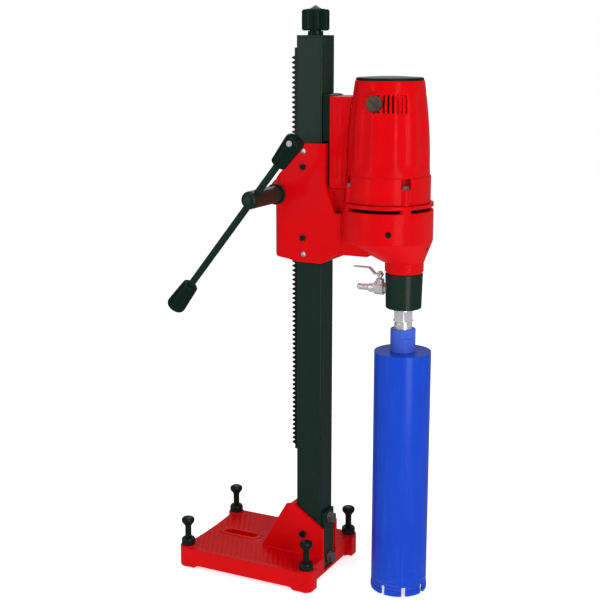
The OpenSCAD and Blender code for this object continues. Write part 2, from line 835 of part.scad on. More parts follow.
module stator() {
    color([0.3, 0.3, 0.32]) translate([motor_x, 0, 0]) difference() {
        rod_z(64.4, 764, 842);
        rod_z(28, 700, 900);
        block([-24, -48, 700], [24, 48, 900]);
    }
    color([0.7, 0.4, 0.2]) translate([motor_x, 0, 0]) for (s = [-1, 1])
        side_block(s, 31, 46, -23, 23, 758, 847);
}

module armature() {
    color([0.5, 0.5, 0.52]) translate([motor_x, 0, 0]) {
        rod_z(5.95, 668.5, 910.3);
        rotate([0, 0, lay_angle_a]) gear(1, armature_teeth, 656, 669);
        rod_z(4.6, 655, 657);
        difference() {
            rod_z(27.5, 766, 840);
            for (i = [0 : 11]) rotate([0, 0, i * 30]) translate([24.5, 0, 0]) rod_z(2.2, 700, 900);
        }
        rod_z(22, 750, 766);
        rod_z(22, 840, 858);
    }
}

module commutator() {
    bars = 24;
    color([0.72, 0.45, 0.25]) translate([motor_x, 0, 0]) difference() {
        rod_z(16.5, 868, 898);
        rod_z(5.97, 800, 1000);
        for (i = [0 : bars - 1]) rotate([0, 0, i * 360 / bars]) block([14.5, -0.3, 860], [18.5, 0.3, 920]);
    }
}

module cooling_fan() {
    blades = 11;
    color([0.12, 0.12, 0.13]) translate([motor_x, 0, 0]) difference() {
        union() {
            rod_z(52, 696, 698.5);
            rod_z(12, 696, 712);
            for (i = [0 : blades - 1]) rotate([0, 0, i * 360 / blades]) block([10, -1, 698], [51, 1, 710]);
        }
        rod_z(5.97, 600, 800);
    }
}

// Ball bearings drawn as plain rings: two on the armature, two on the lay shaft, two on the spindle.
module shaft_bearings() {
    color([0.75, 0.76, 0.78]) {
        translate([motor_x, 0, 0]) {
            tube_z(14, 6, plate_low + 2.05, plate_high);
            tube_z(13, 6, 901, 910.5);
        }
        translate([lay_x, lay_y, 0]) {
            tube_z(11, 4.05, floor_z - 7.5, floor_z - 0.5);
            tube_z(11, 4.05, plate_high - 10.05, plate_high - 3.05);
        }
        translate([spindle_x, 0, 0]) {
            tube_z(26, 15.05, collar_top + 8, collar_top + 23.5);
            tube_z(14, 6.05, plate_high - 11.5, plate_high - 3.05);
        }
    }
}

module carbon_brushes() {
    color([0.1, 0.1, 0.1]) translate([motor_x, 0, brush_z]) for (s = [-1, 1])
        side_block(s, 16.9, 38, -4, 4, -8, 8);
    color([0.7, 0.55, 0.3]) translate([motor_x, 0, brush_z]) for (s = [-1, 1]) difference() {
        side_rod(s, 12, 22, 61.9);
        block([-4.1, -70, -8.1], [4.1, 70, 8.1]);
    }
}

module brush_caps() {
    color([0.55, 0.53, 0.5]) translate([motor_x, 0, brush_z]) for (s = [-1, 1]) difference() {
        union() {
            side_rod(s, 14.2, 62, 69);
            side_rod(s, 12.4, 68, 70.2);
        }
        rotate([0, 35, 0]) translate([-15, s * 70 - 1.8, -1.6]) cube([30, 3.6, 3.2]);
    }
}

// ---- Switch box ----

module switch_box() {
    color("red") difference() {
        union() {
            block([box_back + 0.02, -box_half, box_bottom], [box_front, box_half, box_top]);
            block([box_back + 6, -box_half - 1.5, box_bottom + 6],
                [box_front - 20, box_half + 1.5, box_top - 10]);
        }
        block([box_back - 1, -box_half + 4, box_bottom + 4], [box_front - 6, box_half - 4, box_top - 4]);
        translate([motor_x, 0, 0]) motor_form(0.15, 700, 921);
        translate([motor_x, 0, 0]) rod_z(73.6, 600, 761);
        each_motor_bolt() rod_z(11, 600, 770);
        translate([66, 0, 0]) {
            block([-11.5, 0, 845], [11.5, 60, 875]);
            translate([0, 0, 775]) rod_y(9.05, 0, 60);
        }
    }
}

// The black cover that closes the switch box towards the column.
module switch_cover() {
    color([0.05, 0.05, 0.05]) union() {
        side_plate([[27.5, carriage_top + 2.5], [box_back, carriage_top + 2.5], [box_back, box_top],
            [38, 896], [27.5, 896.5]], -27, 27);
        block([38.5, -28, box_bottom + 4.2], [box_back, 28, carriage_top + 2.6]);
        block([box_back - 0.5, -box_half + 4.2, box_bottom + 4.2],
            [box_back + 3, box_half - 4.2, box_top - 4.2]);
    }
}

module switch_rocker() {
    color([0.05, 0.05, 0.05]) translate([66, box_half - 1, 860]) {
        rotate([0, -90, 0]) translate([0, 0, -10.5]) linear_extrude(21) polygon([[-14, 0], [-14, 2.6],
            [-13, 4.2], [0, 2.8], [13, 6.2], [14, 5], [14, 0], [4, -6], [-4, -6]]);
        rod_x(2, -11.3, 11.3);
    }
}

module cable_gland() {
    color([0.06, 0.06, 0.06]) translate([66, 0, 775]) difference() {
        union() {
            rod_y(9, box_half - 4, box_half + 2);
            translate([0, box_half + 8, 0]) rotate([90, 0, 0]) cylinder(r = 13, h = 6.4, $fn = 6);
            rod_y(9.5, box_half + 7.9, box_half + 16);
        }
        rod_y(5, 0, 80);
    }
}

// ---- Gears and spindle ----

module lay_shaft() {
    color([0.55, 0.55, 0.56]) translate([lay_x, lay_y, 0]) {
        rod_z(4, floor_z - 7.5, plate_high - 3.2);
        rotate([0, 0, lay_angle_b]) gear(lay_module, lay_pinion_teeth, floor_z + 1, floor_z + 20);
        rod_z(7, floor_z + 19, floor_z + 40);
        rotate([0, 0, lay_angle_a + 180 + 180 / lay_teeth]) gear(1, lay_teeth, floor_z + 24, floor_z + 34);
    }
}

module spindle_gear() {
    color([0.55, 0.55, 0.56]) translate([spindle_x, 0, 0]) difference() {
        rotate([0, 0, lay_angle_b + 180 + 180 / spindle_teeth])
            gear(lay_module, spindle_teeth, floor_z + 2, floor_z + 18);
        rod_z(12 + eps, 600, 700);
    }
}

// The spindle: journals above, a cross hole in the water room, flats and a thread below.
module spindle() {
    color([0.85, 0.86, 0.87]) translate([spindle_x, 0, 0]) difference() {
        union() {
            rotate_extrude() polygon([[0, 462], [15.5, 462], [15.9, 464], [15.9, 501], [15, 501.5],
                [15, 505], [18.3, 505], [18.3, 526], [16, 527.5], [16, 592], [15, 592], [15, 618],
                [17, 618], [17, floor_z + 2], [12, floor_z + 2], [12, floor_z + 30], [6, floor_z + 34],
                [6, plate_high - 3.2], [0, plate_high - 3.2]]);
            rod_z(16.5, floor_z + 18.02, floor_z + 22);
        }
        rod_z(6, 455, valve_z + 5);
        translate([0, 0, valve_z]) rod_x(3, -30, 30);
        for (a = [0 : 60 : 300]) rotate([0, 0, a + 22]) translate([16.2, -20, 505.5]) cube([10, 40, 18]);
    }
}

module water_collar() {
    color([0.06, 0.07, 0.07]) translate([spindle_x, 0, 0]) difference() {
        rotate_extrude() polygon([[0, collar_bottom], [collar_r - 2.5, collar_bottom],
            [collar_r - 1, collar_bottom + 1.5], [collar_r + 0.5, collar_top - 1], [collar_r, collar_top],
            [0, collar_top]]);
        rod_z(24 + eps, 500, collar_bottom + 13);
        rod_z(21, 500, 600);
        rod_z(24 + eps, collar_top - 15, 600);
        translate([0, 0, valve_z]) rod_x(4, -60, 0);
        translate([0, 0, valve_z]) rod_x(7.05, -60, -24.5);
    }
}

module spindle_seals() {
    color([0.15, 0.15, 0.16]) translate([spindle_x, 0, 0]) {
        tube_z(24, 16.05, collar_bottom + 4, collar_bottom + 12.9);
        tube_z(24, 16.05, collar_top - 14.9, collar_top - 6);
    }
}

// ---- Water valve ----

module valve_body() {
    color([0.8, 0.8, 0.8]) difference() {
        union() {
            translate([0, 0, valve_z]) {
                rod_x(7, 126, spindle_x - 24.6);
                translate([118, 0, 0]) rotate([0, 90, 0]) hex_z(12 * sqrt(3), 0, 18);
                rod_x(8.5, 108, 119);
            }
            translate([valve_x, 0, 0]) {
                rod_z(7.5, valve_z, valve_z + 17);
                hex_z(13, valve_z + 11, valve_z + 15);
            }
        }
        translate([0, 0, valve_z]) rod_x(3.5, 100, 160);
        translate([0, 0, valve_z]) rod_x(5.82, 100, 115);
        translate([valve_x, 0, 0]) rod_z(3.55, valve_z + 2, valve_z + 30);
        translate([valve_x, 0, valve_z]) sphere(r = 7.0);
    }
}

module hose_spigot() {
    color([0.8, 0.8, 0.8]) translate([0, 0, valve_z]) difference() {
        rotate([0, 90, 0]) rotate_extrude() polygon([[0, 86], [5.2, 86], [6.25, 88], [6.25, 93], [5.4, 93],
            [5.4, 94.5], [6.25, 94.5], [6.25, 99.5], [5.4, 99.5], [5.4, 101], [6.25, 101], [6.25, 107.9],
            [5.8, 107.9], [5.8, 114.9], [0, 114.9]]);
        rod_x(3.5, 80, 130);
    }
}

lever_z = valve_z + 24;

// The valve's ball with its stem and the nut that holds the lever.
module valve_stem() {
    color([0.75, 0.75, 0.74]) translate([valve_x, 0, 0]) {
        difference() {
            translate([0, 0, valve_z]) sphere(r = 6.6);
            translate([0, 0, valve_z]) rod_x(3.5, -10, 10);
        }
        rod_z(3.5, valve_z + 5, lever_z);
        rod_z(2.4, lever_z - 1, lever_z + 7);
        rod_z(5.5, lever_z - 3, lever_z - 0.02);
        hex_z(9, lever_z + 2.05, lever_z + 5.5);
    }
}

// A bent strip lever that turns with the stem.
module valve_lever() {
    lift = 10.4;
    color([0.7, 0.7, 0.69]) difference() {
        union() {
            translate([valve_x, 0, lever_z]) side_plate([[0, 0], [0, 2], [-9, 2], [-20, lift + 2],
                [-46, lift + 2], [-46, lift], [-21, lift], [-10, 0]], -5, 5);
            translate([valve_x, 0, 0]) rod_z(7, lever_z, lever_z + 2);
            translate([valve_x - 46, 0, 0]) rod_z(5, lever_z + lift, lever_z + lift + 2);
        }
        translate([valve_x, 0, 0]) rod_z(2.42, lever_z - 5, lever_z + 10);
    }
}

// ---- Core bit ----

hub_top = 491;
segment_high = crown_bottom + 9;
slot_high = crown_bottom + 17;
slot_wide = 7.5;

module bit_hub() {
    color([0.3, 0.4, 0.85]) translate([spindle_x, 0, 0]) difference() {
        rotate_extrude() polygon([[0, barrel_top + 0.02], [23.5, barrel_top + 0.02], [22.3, barrel_top + 4],
            [22.3, hub_top - 1], [21.3, hub_top], [0, hub_top]]);
        rod_z(15.92, barrel_top + 9, 600);
        rod_z(8, 400, 600);
        for (a = [0, 180]) rotate([0, 0, a - 45]) translate([19.5, -20, hub_top - 16]) cube([10, 40, 30]);
    }
}

module core_barrel() {
    color([0.05, 0.15, 0.75]) translate([spindle_x, 0, 0]) difference() {
        rod_z(barrel_r, segment_high, barrel_top);
        rod_z(barrel_r - barrel_wall, 0, barrel_top - 6);
        rod_z(8, 400, 500);
        for (i = [0 : segments - 1]) rotate([0, 0, (i + 0.5) * 360 / segments + 10])
            translate([barrel_r - 10, -slot_wide / 2, 0]) cube([20, slot_wide, slot_high]);
    }
}

module crown_segments() {
    half = asin(slot_wide / 2 / barrel_r);
    color([0.07, 0.17, 0.7]) translate([spindle_x, 0, 0]) for (i = [0 : segments - 1])
        rotate([0, 0, (i - 0.5) * 360 / segments + 10 + half])
            rotate_extrude(angle = 360 / segments - 2 * half)
                translate([barrel_r - barrel_wall - 0.8, crown_bottom])
                    square([barrel_wall + 1.6, segment_high - 0.02 - crown_bottom]);
}

// ---- Placing ----

module place() {
    translate(origin_shift) children();
}

place() base_casting();
place() clamp_plate();
place() clamp_bolts();
place() cheek_screws();
place() lock_nuts();
place() screw_near_rear();
place() screw_far_rear();
place() screw_near_front();
place() screw_far_front();
place() column_tube();
place() toothed_rack();
place() rack_screws();
place() column_cap();
place() jack_screw();
place() jack_knob();
place() jack_pin();
place() carriage_housing();
place() guide_pads();
place() gib_screws();
place() pad_screws();
place() feed_bushes();
place() bearing_caps();
place() feed_shaft();
place() feed_pinion();
place() handle_hub();
place() hub_pin();
place() handle_bar();
place() upper_grip();
place() lower_grip();
place() grip_pin();
place() gearbox_housing();
place() head_bolts();
place() oil_plug();
place() bearing_plate();
place() motor_housing();
place() motor_cap();
place() motor_bolts();
place() stator();
place() armature();
place() commutator();
place() cooling_fan();
place() shaft_bearings();
place() carbon_brushes();
place() brush_caps();
place() switch_box();
place() switch_cover();
place() switch_rocker();
place() cable_gland();
place() lay_shaft();
place() spindle();
place() spindle_gear();
place() water_collar();
place() spindle_seals();
place() valve_body();
place() hose_spigot();
place() valve_stem();
place() valve_lever();
place() bit_hub();
place() core_barrel();
place() crown_segments();
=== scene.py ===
"""Looks of the core drill rig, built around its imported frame. Lengths are metres and +Z is up."""
import json
import math

import bmesh
import bpy
from mathutils import Matrix, Vector


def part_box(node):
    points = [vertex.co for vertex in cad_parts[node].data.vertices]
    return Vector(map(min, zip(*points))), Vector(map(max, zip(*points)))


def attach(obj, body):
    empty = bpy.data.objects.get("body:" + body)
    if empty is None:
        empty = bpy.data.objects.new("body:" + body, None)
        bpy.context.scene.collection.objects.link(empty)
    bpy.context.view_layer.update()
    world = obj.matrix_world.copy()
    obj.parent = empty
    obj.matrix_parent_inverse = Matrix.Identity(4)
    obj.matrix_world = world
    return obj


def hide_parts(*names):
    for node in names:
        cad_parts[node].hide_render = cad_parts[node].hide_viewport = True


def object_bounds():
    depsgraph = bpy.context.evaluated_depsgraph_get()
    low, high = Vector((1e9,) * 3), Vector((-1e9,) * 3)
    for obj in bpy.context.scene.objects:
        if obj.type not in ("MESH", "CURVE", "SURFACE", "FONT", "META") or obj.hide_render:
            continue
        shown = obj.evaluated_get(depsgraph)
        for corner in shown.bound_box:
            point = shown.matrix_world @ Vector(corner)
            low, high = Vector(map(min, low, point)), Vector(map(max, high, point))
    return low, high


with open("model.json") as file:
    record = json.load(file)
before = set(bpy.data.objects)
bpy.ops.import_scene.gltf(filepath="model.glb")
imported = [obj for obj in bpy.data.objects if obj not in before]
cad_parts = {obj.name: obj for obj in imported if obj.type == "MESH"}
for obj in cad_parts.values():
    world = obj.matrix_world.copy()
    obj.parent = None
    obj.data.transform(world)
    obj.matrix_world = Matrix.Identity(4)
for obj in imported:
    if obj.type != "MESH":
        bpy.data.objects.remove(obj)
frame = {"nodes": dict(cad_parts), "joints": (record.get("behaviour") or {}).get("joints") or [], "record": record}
cad_box = [list(corner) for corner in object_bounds()]

MM = 0.001
TURN = 2 * math.pi
COARSE = 1.0


# ---- Places, all read from the frame ----

JOINTS = {joint["name"]: joint for joint in frame["joints"]}
BODY_OF = {node: body for body, nodes in frame["record"]["behaviour"]["bodies"].items() for node in nodes}
SLOT_OF = {part["node"]: part["material_slot"] for part in frame["record"]["subparts"]}


def middle(node):
    """The middle of a node's box."""
    low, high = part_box(node)
    return (low + high) / 2


def joint_place(name):
    """A joint's position as a vector."""
    return Vector(JOINTS[name]["pos_m"])


COLUMN = middle("column_tube")
MOTOR = joint_place("rotor_spin")


# ---- Camera and stage ----

YAW = math.radians(26.71)
PITCH = math.radians(12.25)
CAMERA_DISTANCE = 2.174
LENS = 72
FLOOR_RADIUS = 9
FLOOR_GLOW = 0.66
WORLD_LIGHT = 0.45
SEEN_MORE = 0.55
MIRRORED_LESS = -0.30
AIM = (Vector(cad_box[0]) + Vector(cad_box[1])) / 2 + Vector((-0.012, -0.004, 0.004))


def add_camera():
    """The camera looks down a little at the feed handle's side of the rig."""
    data = bpy.data.cameras.new("camera")
    data.lens = LENS
    data.sensor_width = 36
    data.clip_end = 20
    camera = bpy.data.objects.new("camera", data)
    back = Vector((math.sin(YAW) * math.cos(PITCH), -math.cos(YAW) * math.cos(PITCH), math.sin(PITCH)))
    camera.location = AIM + back * CAMERA_DISTANCE
    camera.rotation_euler = (math.pi / 2 - PITCH, 0, YAW)
    bpy.context.scene.collection.objects.link(camera)
    bpy.context.scene.camera = camera


def add_softbox(name, azimuth, elevation, distance, size, power):
    """A rectangular soft light that faces the rig. Degrees, metres and watts; azimuth 0 is the -Y side."""
    data = bpy.data.lights.new(name, "AREA")
    data.shape = "RECTANGLE"
    data.size, data.size_y = size
    data.energy = power
    light = bpy.data.objects.new(name, data)
    a, e = math.radians(azimuth), math.radians(elevation)
    way = Vector((math.sin(a) * math.cos(e), -math.cos(a) * math.cos(e), math.sin(e)))
    light.location = AIM + way * distance
    light.rotation_euler = way.to_track_quat("Z", "Y").to_euler()
    bpy.context.scene.collection.objects.link(light)


# ---- Shader sockets ----

class Value:
    """A socket that Python's operators work on. Each operator adds a Math node."""

    def __init__(self, finish, socket):
        self.finish = finish
        self.socket = socket

    def _math(self, operation, first, second):
        return self.finish.node("Math", {"operation": operation}, {0: first, 1: second})

    def __add__(self, other):
        return self._math("ADD", self, other)

    def __sub__(self, other):
        return self._math("SUBTRACT", self, other)

    def __mul__(self, other):
        return self._math("MULTIPLY", self, other)

    def __rsub__(self, other):
        return self._math("SUBTRACT", other, self)

    __radd__ = __add__
    __rmul__ = __mul__


class Finish:
    """A material and the few node forms that the rig's finishes are written with."""

    def __init__(self, name):
        self.material = bpy.data.materials.new(name)
        self.material.use_nodes = True
        self.tree = self.material.node_tree
        self.tree.nodes.clear()
        self.place = self.node("TexCoord", output="Object")

    def node(self, kind, settings=None, inputs=None, output=0):
        """Any node: its settings first, then its sockets' values or links. Returns one output."""
        node = self.tree.nodes.new("ShaderNode" + kind)
        for name, setting in (settings or {}).items():
            if name == "stops":
                self._set_stops(node.color_ramp, setting)
            else:
                setattr(node, name, setting)
        for name, given in (inputs or {}).items():
            if isinstance(given, Value):
                self.tree.links.new(given.socket, node.inputs[name])
            else:
                node.inputs[name].default_value = given
        return Value(self, node.outputs[output])

    def _set_stops(self, ramp, stops):
        """A grey ramp's stops, as (position, level)."""
        while len(ramp.elements) < len(stops):
            ramp.elements.new(0.5)
        for element, (position, level) in zip(ramp.elements, stops):
            element.position = position
            element.color = (level, level, level, 1)

    def ramp(self, value, *stops):
        """A value sent through a grey ramp."""
        return self.node("ValToRGB", {"stops": stops}, {0: value})

    def noise(self, scale, detail=3, rough=0.5, stretch=(1, 1, 1)):
        """Noise with a number of features per metre, drawn out along an axis where stretch is small."""
        place = self.node("VectorMath", {"operation": "MULTIPLY"}, {0: self.place, 1: stretch})
        inputs = {"Vector": place, "Scale": scale, "Detail": detail, "Roughness": rough}
        return self.node("TexNoise", {}, inputs)

    def edges(self, low, high):
        """1 on convex edges, 0 on flats, from how pointed the mesh is."""
        pointed = self.node("NewGeometry", output="Pointiness")
        return self.node("MapRange", {"clamp": True}, {"Value": pointed, "From Min": low, "From Max": high})

    def mix(self, mask, first, second):
        """A colour between two colours."""
        wide = [colour if isinstance(colour, Value) else (*colour, 1) for colour in (first, second)]
        return self.node("Mix", {"data_type": "RGBA"}, {0: mask, 6: wide[0], 7: wide[1]}, output=2)

    def bump(self, height, distance, strength, normal=None):
        """A normal from a height map, in metres of relief."""
        inputs = {"Height": height, "Distance": distance, "Strength": strength}
        if normal:
            inputs["Normal"] = normal
        return self.node("Bump", {}, inputs)

    def finish(self, **inputs):
        """The shader itself. Names have underscores for spaces."""
        names = {name.replace("_", " "): given for name, given in inputs.items()}
        if isinstance(names.get("Base Color"), tuple):
            names["Base Color"] = (*names["Base Color"], 1)
        shader = self.node("BsdfPrincipled", {}, names)
        out = self.tree.nodes.new("ShaderNodeOutputMaterial")
        self.tree.links.new(shader.socket, out.inputs["Surface"])
        return self.material


def toned(colour, factor, plus=0):
    """A colour made lighter or darker."""
    return tuple(min(1, c * factor + plus) for c in colour)


CHIPPED = (0.18, 0.17, 0.16)


def cast_paint(name, colour, deep):
    """Paint over a casting: slow waves, fine orange peel, thin worn edges, and painted shade that darkens its
    corners and recesses.
    """
    f = Finish(name)
    tone = f.noise(14, 4, 0.55)
    peel = f.noise(700, 2, 0.5)
    waves = f.noise(55, 2, 0.4)
    grit = f.noise(260, 5, 0.6)
    patches = f.ramp(f.noise(30, 2), (0.46, 0), (0.62, 1))
    worn = f.edges(0.545, 0.61) * f.ramp(grit, (0.52, 0), (0.62, 1)) * patches
    # painted shade: concave places (low pointiness) are darkened towards a deep red where shade falls in corners
    # and recesses, and they are made rougher too
    recess_shade = f.edges(0.48, 0.42)
    paint = f.mix(f.ramp(tone, (0.3, 0), (0.75, 1)), colour, deep)
    # the painted shade of the recesses is mixed into the paint here
    paint = f.mix(recess_shade * 0.6, paint, toned(deep, 0.3))
    paint = f.mix(worn * 0.7, paint, CHIPPED)
    return f.finish(
        Base_Color=paint,
        Roughness=0.30 + tone * 0.12 + recess_shade * 0.2 + worn * 0.2,
        Specular_IOR_Level=0.2, Specular_Tint=tuple(0.15 + 0.85 * c / max(colour) for c in colour) + (1,),
        Coat_Weight=0.05, Coat_Roughness=0.1,
        Normal=f.bump(peel, 0.00006, 0.35, f.bump(waves, 0.0006, 0.35)))


def enamel(name, colour, scuffed, along=(1, 1, 1)):
    """Dark enamel with a slow haze, fine rub marks that run along one way, and a few specks."""
    f = Finish(name)
    tone = f.noise(18, 4, 0.6)
    rub = f.ramp(f.noise(420, 4, 0.7, along), (0.55, 0), (0.80, 1))
    haze = f.ramp(f.noise(9, 3, 0.5, along), (0.35, 0), (0.8, 1))
    specks = f.ramp(f.noise(520, 3, 0.6), (0.68, 0), (0.74, 1)) * f.ramp(f.noise(24, 3), (0.50, 0), (0.65, 1))
    paint = f.mix(haze * 0.6, colour, scuffed)
    paint = f.mix(rub * 0.3, paint, toned(scuffed, 2))
    paint = f.mix(specks * 0.5, paint, (0.10, 0.10, 0.095))
    return f.finish(
        Base_Color=paint,
        Roughness=0.30 + tone * 0.14 + rub * 0.15 + specks * 0.2,
        Specular_IOR_Level=0.16, Coat_Weight=0.14, Coat_Roughness=0.12,
        Normal=f.bump(f.noise(600, 2), 0.00005, 0.3, f.bump(f.noise(70, 2), 0.0003, 0.25)))


def metal(name, colour, dull, rough, depth=0.00004, metallic=1.0):
    """Bare or plated metal with machining lines, smudges and a duller tone in patches."""
    f = Finish(name)
    fine = f.noise(900, 3, 0.6)
    smudge = f.noise(45, 5, 0.6)
    spots = f.ramp(f.noise(380, 5, 0.7), (0.6, 0), (0.75, 1))
    tone = f.mix(f.ramp(smudge, (0.35, 0), (0.75, 1)) * 0.6, colour, dull)
    tone = f.mix(spots * 0.25, tone, toned(dull, 0.5))
    return f.finish(
        Base_Color=tone, Metallic=metallic,
        Roughness=rough + smudge * rough * 0.5 + fine * rough * 0.4,
        Normal=f.bump(fine, depth, 0.5))


def moulded(name, colour, grain_scale=1100, rough=0.5):
    """Moulded plastic with a fine even grain and rubbed, glossier edges."""
    f = Finish(name)
    grain = f.noise(grain_scale, 2, 0.5)
    tone = f.noise(40, 4, 0.6)
    rubbed = f.edges(0.52, 0.58)
    shade = f.mix(tone * 0.6, colour, toned(colour, 1.9, 0.004))
    shade = f.mix(rubbed * 0.35, shade, toned(colour, 3, 0.006))
    return f.finish(
        Base_Color=shade, Specular_IOR_Level=0.1,
        Roughness=rough + tone * 0.14 - rubbed * 0.12,
        Normal=f.bump(grain, 0.00008, 0.5))


def barrel_paint(name, colour, bright):
    """Gloss paint on a rolled tube: long vertical rub marks, and bare steel scratches near the crown."""
    f = Finish(name)
    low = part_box("core_barrel")[0].z
    height = f.node("SeparateXYZ", {}, {0: f.place}, output="Z")
    near_crown = f.node("MapRange", {"clamp": True},
                        {"Value": height, "From Min": low + 0.07, "From Max": low})
    rub = f.ramp(f.noise(240, 4, 0.65, (1, 1, 0.04)), (0.52, 0), (0.75, 1))
    rings = f.ramp(f.noise(900, 3, 0.6, (0.02, 0.02, 1)), (0.58, 0), (0.66, 1)) * near_crown
    tone = f.noise(12, 3, 0.5)
    paint = f.mix(tone * 0.5, colour, bright)
    paint = f.mix(rub * 0.16, paint, toned(bright, 1.7, 0.02))
    paint = f.mix(rings * 0.30, paint, (0.25, 0.27, 0.34))
    return f.finish(
        Base_Color=paint,
        Roughness=0.16 + rub * 0.12 + rings * 0.25 + tone * 0.06,
        Specular_IOR_Level=0.2, Specular_Tint=(0.1, 0.4, 1, 1), Coat_Weight=0.5, Coat_Roughness=0.28,
        Normal=f.bump(f.noise(500, 2), 0.00005, 0.3))


def rubber(name, colour):
    """Dull rubber with bloom."""
    f = Finish(name)
    bloom = f.noise(60, 5, 0.65)
    return f.finish(
        Base_Color=f.mix(bloom, colour, toned(colour, 2.2)),
        Roughness=0.62 + bloom * 0.2,
        Normal=f.bump(f.noise(900, 2), 0.00006, 0.4))


def make_finishes():
    """Every finish of the record, under its slot's name."""
    along_column = (1, 1, 0.02)
    return {
        "red_paint": cast_paint("red_paint", (0.63, 0.001, 0.003), (0.54, 0.001, 0.003)),
        "black_enamel": enamel("black_enamel", (0.004, 0.018, 0.012), (0.010, 0.028, 0.020), along_column),
        "black_steel": enamel("black_steel", (0.002, 0.009, 0.007), (0.006, 0.016, 0.012)),
        "grey_steel": metal("grey_steel", (0.17, 0.18, 0.175), (0.09, 0.10, 0.095), 0.32),
        "zinc": metal("zinc", (0.36, 0.36, 0.32), (0.20, 0.20, 0.17), 0.32),
        "bright_steel": metal("bright_steel", (0.96, 0.96, 0.94), (0.80, 0.80, 0.78), 0.36),
        "chrome_plate": metal("chrome_plate", (0.90, 0.90, 0.92), (0.70, 0.71, 0.74), 0.14, depth=0.00001,
                              metallic=0.6),
        "black_plastic": moulded("black_plastic", (0.0015, 0.009, 0.006), rough=0.34),
        "cap_metal": metal("cap_metal", (0.20, 0.165, 0.12), (0.09, 0.07, 0.05), 0.34),
        "bronze": metal("bronze", (0.55, 0.33, 0.14), (0.38, 0.22, 0.10), 0.30),
        "copper": metal("copper", (0.65, 0.30, 0.16), (0.42, 0.18, 0.09), 0.28),
        "carbon": moulded("carbon", (0.02, 0.02, 0.021), 1500, 0.6),
        "seal_rubber": rubber("seal_rubber", (0.018, 0.018, 0.020)),
        "guide_polymer": moulded("guide_polymer", (0.55, 0.50, 0.36), 900, 0.45),
        "plate_alloy": metal("plate_alloy", (0.55, 0.56, 0.58), (0.40, 0.41, 0.42), 0.36),
        "blue_paint": barrel_paint("blue_paint", (0.0006, 0.040, 0.49), (0.001, 0.070, 0.54)),
        "light_blue_paint": cast_paint("light_blue_paint", (0.058, 0.120, 0.62), (0.045, 0.10, 0.52)),
    }


def add_floor():
    """A wide pale floor that glows a little, as a light table does, so that it meets the backdrop unseen."""
    bm = bmesh.new()
    bmesh.ops.create_circle(bm, cap_ends=True, radius=FLOOR_RADIUS, segments=96)
    mesh = bpy.data.meshes.new("floor")
    bm.to_mesh(mesh)
    bm.free()
    f = Finish("floor")
    mesh.materials.append(f.finish(
        Base_Color=f.mix(f.noise(3), (0.80, 0.80, 0.81), (0.83, 0.83, 0.83)), Roughness=0.8,
        Emission_Color=(1, 1, 1, 1), Emission_Strength=FLOOR_GLOW))
    floor = bpy.data.objects.new("floor", mesh)
    floor.visible_glossy = False
    bpy.context.scene.collection.objects.link(floor)


def add_world():
    """A white backdrop that lights the rig more gently than it looks."""
    world = bpy.data.worlds.new("studio")
    world.use_nodes = True
    nodes, links = world.node_tree.nodes, world.node_tree.links
    seen = nodes.new("ShaderNodeLightPath")
    level = WORLD_LIGHT
    for ray, share in (("Is Camera Ray", SEEN_MORE), ("Is Glossy Ray", MIRRORED_LESS)):
        step = nodes.new("ShaderNodeMath")
        step.operation = "MULTIPLY_ADD"
        links.new(seen.outputs[ray], step.inputs[0])
        step.inputs[1].default_value = share
        if isinstance(level, float):
            step.inputs[2].default_value = level
        else:
            links.new(level, step.inputs[2])
        level = step.outputs[0]
    links.new(level, nodes["Background"].inputs["Strength"])
    nodes["Background"].inputs["Color"].default_value = (1, 1, 1, 1)
    bpy.context.scene.world = world


# ---- Forms ----

FILLET_STEPS = 5
AROUND = 48
SKIN_SHARE = 0.15
TURNED_SHARP = 40
SKIN_SHARP = 60


def rounded(corners):
    """Corner points (r, z, fillet) as an outline whose corners are soft. A corner with no fillet is sharp."""
    outline = []
    for i, (r, z, *fillet) in enumerate(corners):
        here = Vector((r, z))
        if not fillet or i in (0, len(corners) - 1):
            outline.append(here)
            continue
        sides = [Vector(corners[i + step][:2]) - here for step in (-1, 1)]
        reach = min(fillet[0], *(side.length * 0.49 for side in sides))
        start, end = (here + side.normalized() * reach for side in sides)
        for k in range(FILLET_STEPS + 1):
            t = k / FILLET_STEPS
            outline.append(start * (1 - t) ** 2 + here * 2 * t * (1 - t) + end * t ** 2)
    return outline


def turned(bm, outline, place, swell):
    """A turned form about place's Z from (r, z) points. swell(angle, r, z) gives a point's own radius."""
    rings = []
    for r, z in outline:
        if r < 1e-6:
            rings.append([bm.verts.new(place @ Vector((0, 0, z)))])
            continue
        points = []
        for i in range(AROUND):
            a = TURN * i / AROUND
            own = swell(a, r, z)
            points.append(bm.verts.new(place @ Vector((own * math.cos(a), own * math.sin(a), z))))
        rings.append(points)
    for low, high in zip(rings, rings[1:]):
        for i in range(AROUND):
            j = (i + 1) % AROUND
            around = [low[i % len(low)], low[j % len(low)], high[j % len(high)], high[i % len(high)]]
            corners = list(dict.fromkeys(around))
            if len(corners) > 2:
                bm.faces.new(corners)


def copy_of(node):
    """The closed meshes of a CAD node, in one bmesh."""
    bm = bmesh.new()
    bm.from_mesh(frame["nodes"][node].data)
    bmesh.ops.remove_doubles(bm, verts=bm.verts, dist=1e-6)
    return bm


def linked(name, mesh):
    """A new object with that mesh, linked to the scene."""
    piece = bpy.data.objects.new(name, mesh)
    bpy.context.scene.collection.objects.link(piece)
    return piece


def settle(piece, *modifiers):
    """Applies modifiers, given as (type, settings), to a piece's mesh."""
    for kind, settings in modifiers:
        modifier = piece.modifiers.new(kind.lower(), kind)
        for name, setting in settings.items():
            setattr(modifier, name, setting)
    graph = bpy.context.evaluated_depsgraph_get()
    mesh = bpy.data.meshes.new_from_object(piece.evaluated_get(graph))
    piece.modifiers.clear()
    piece.data = mesh


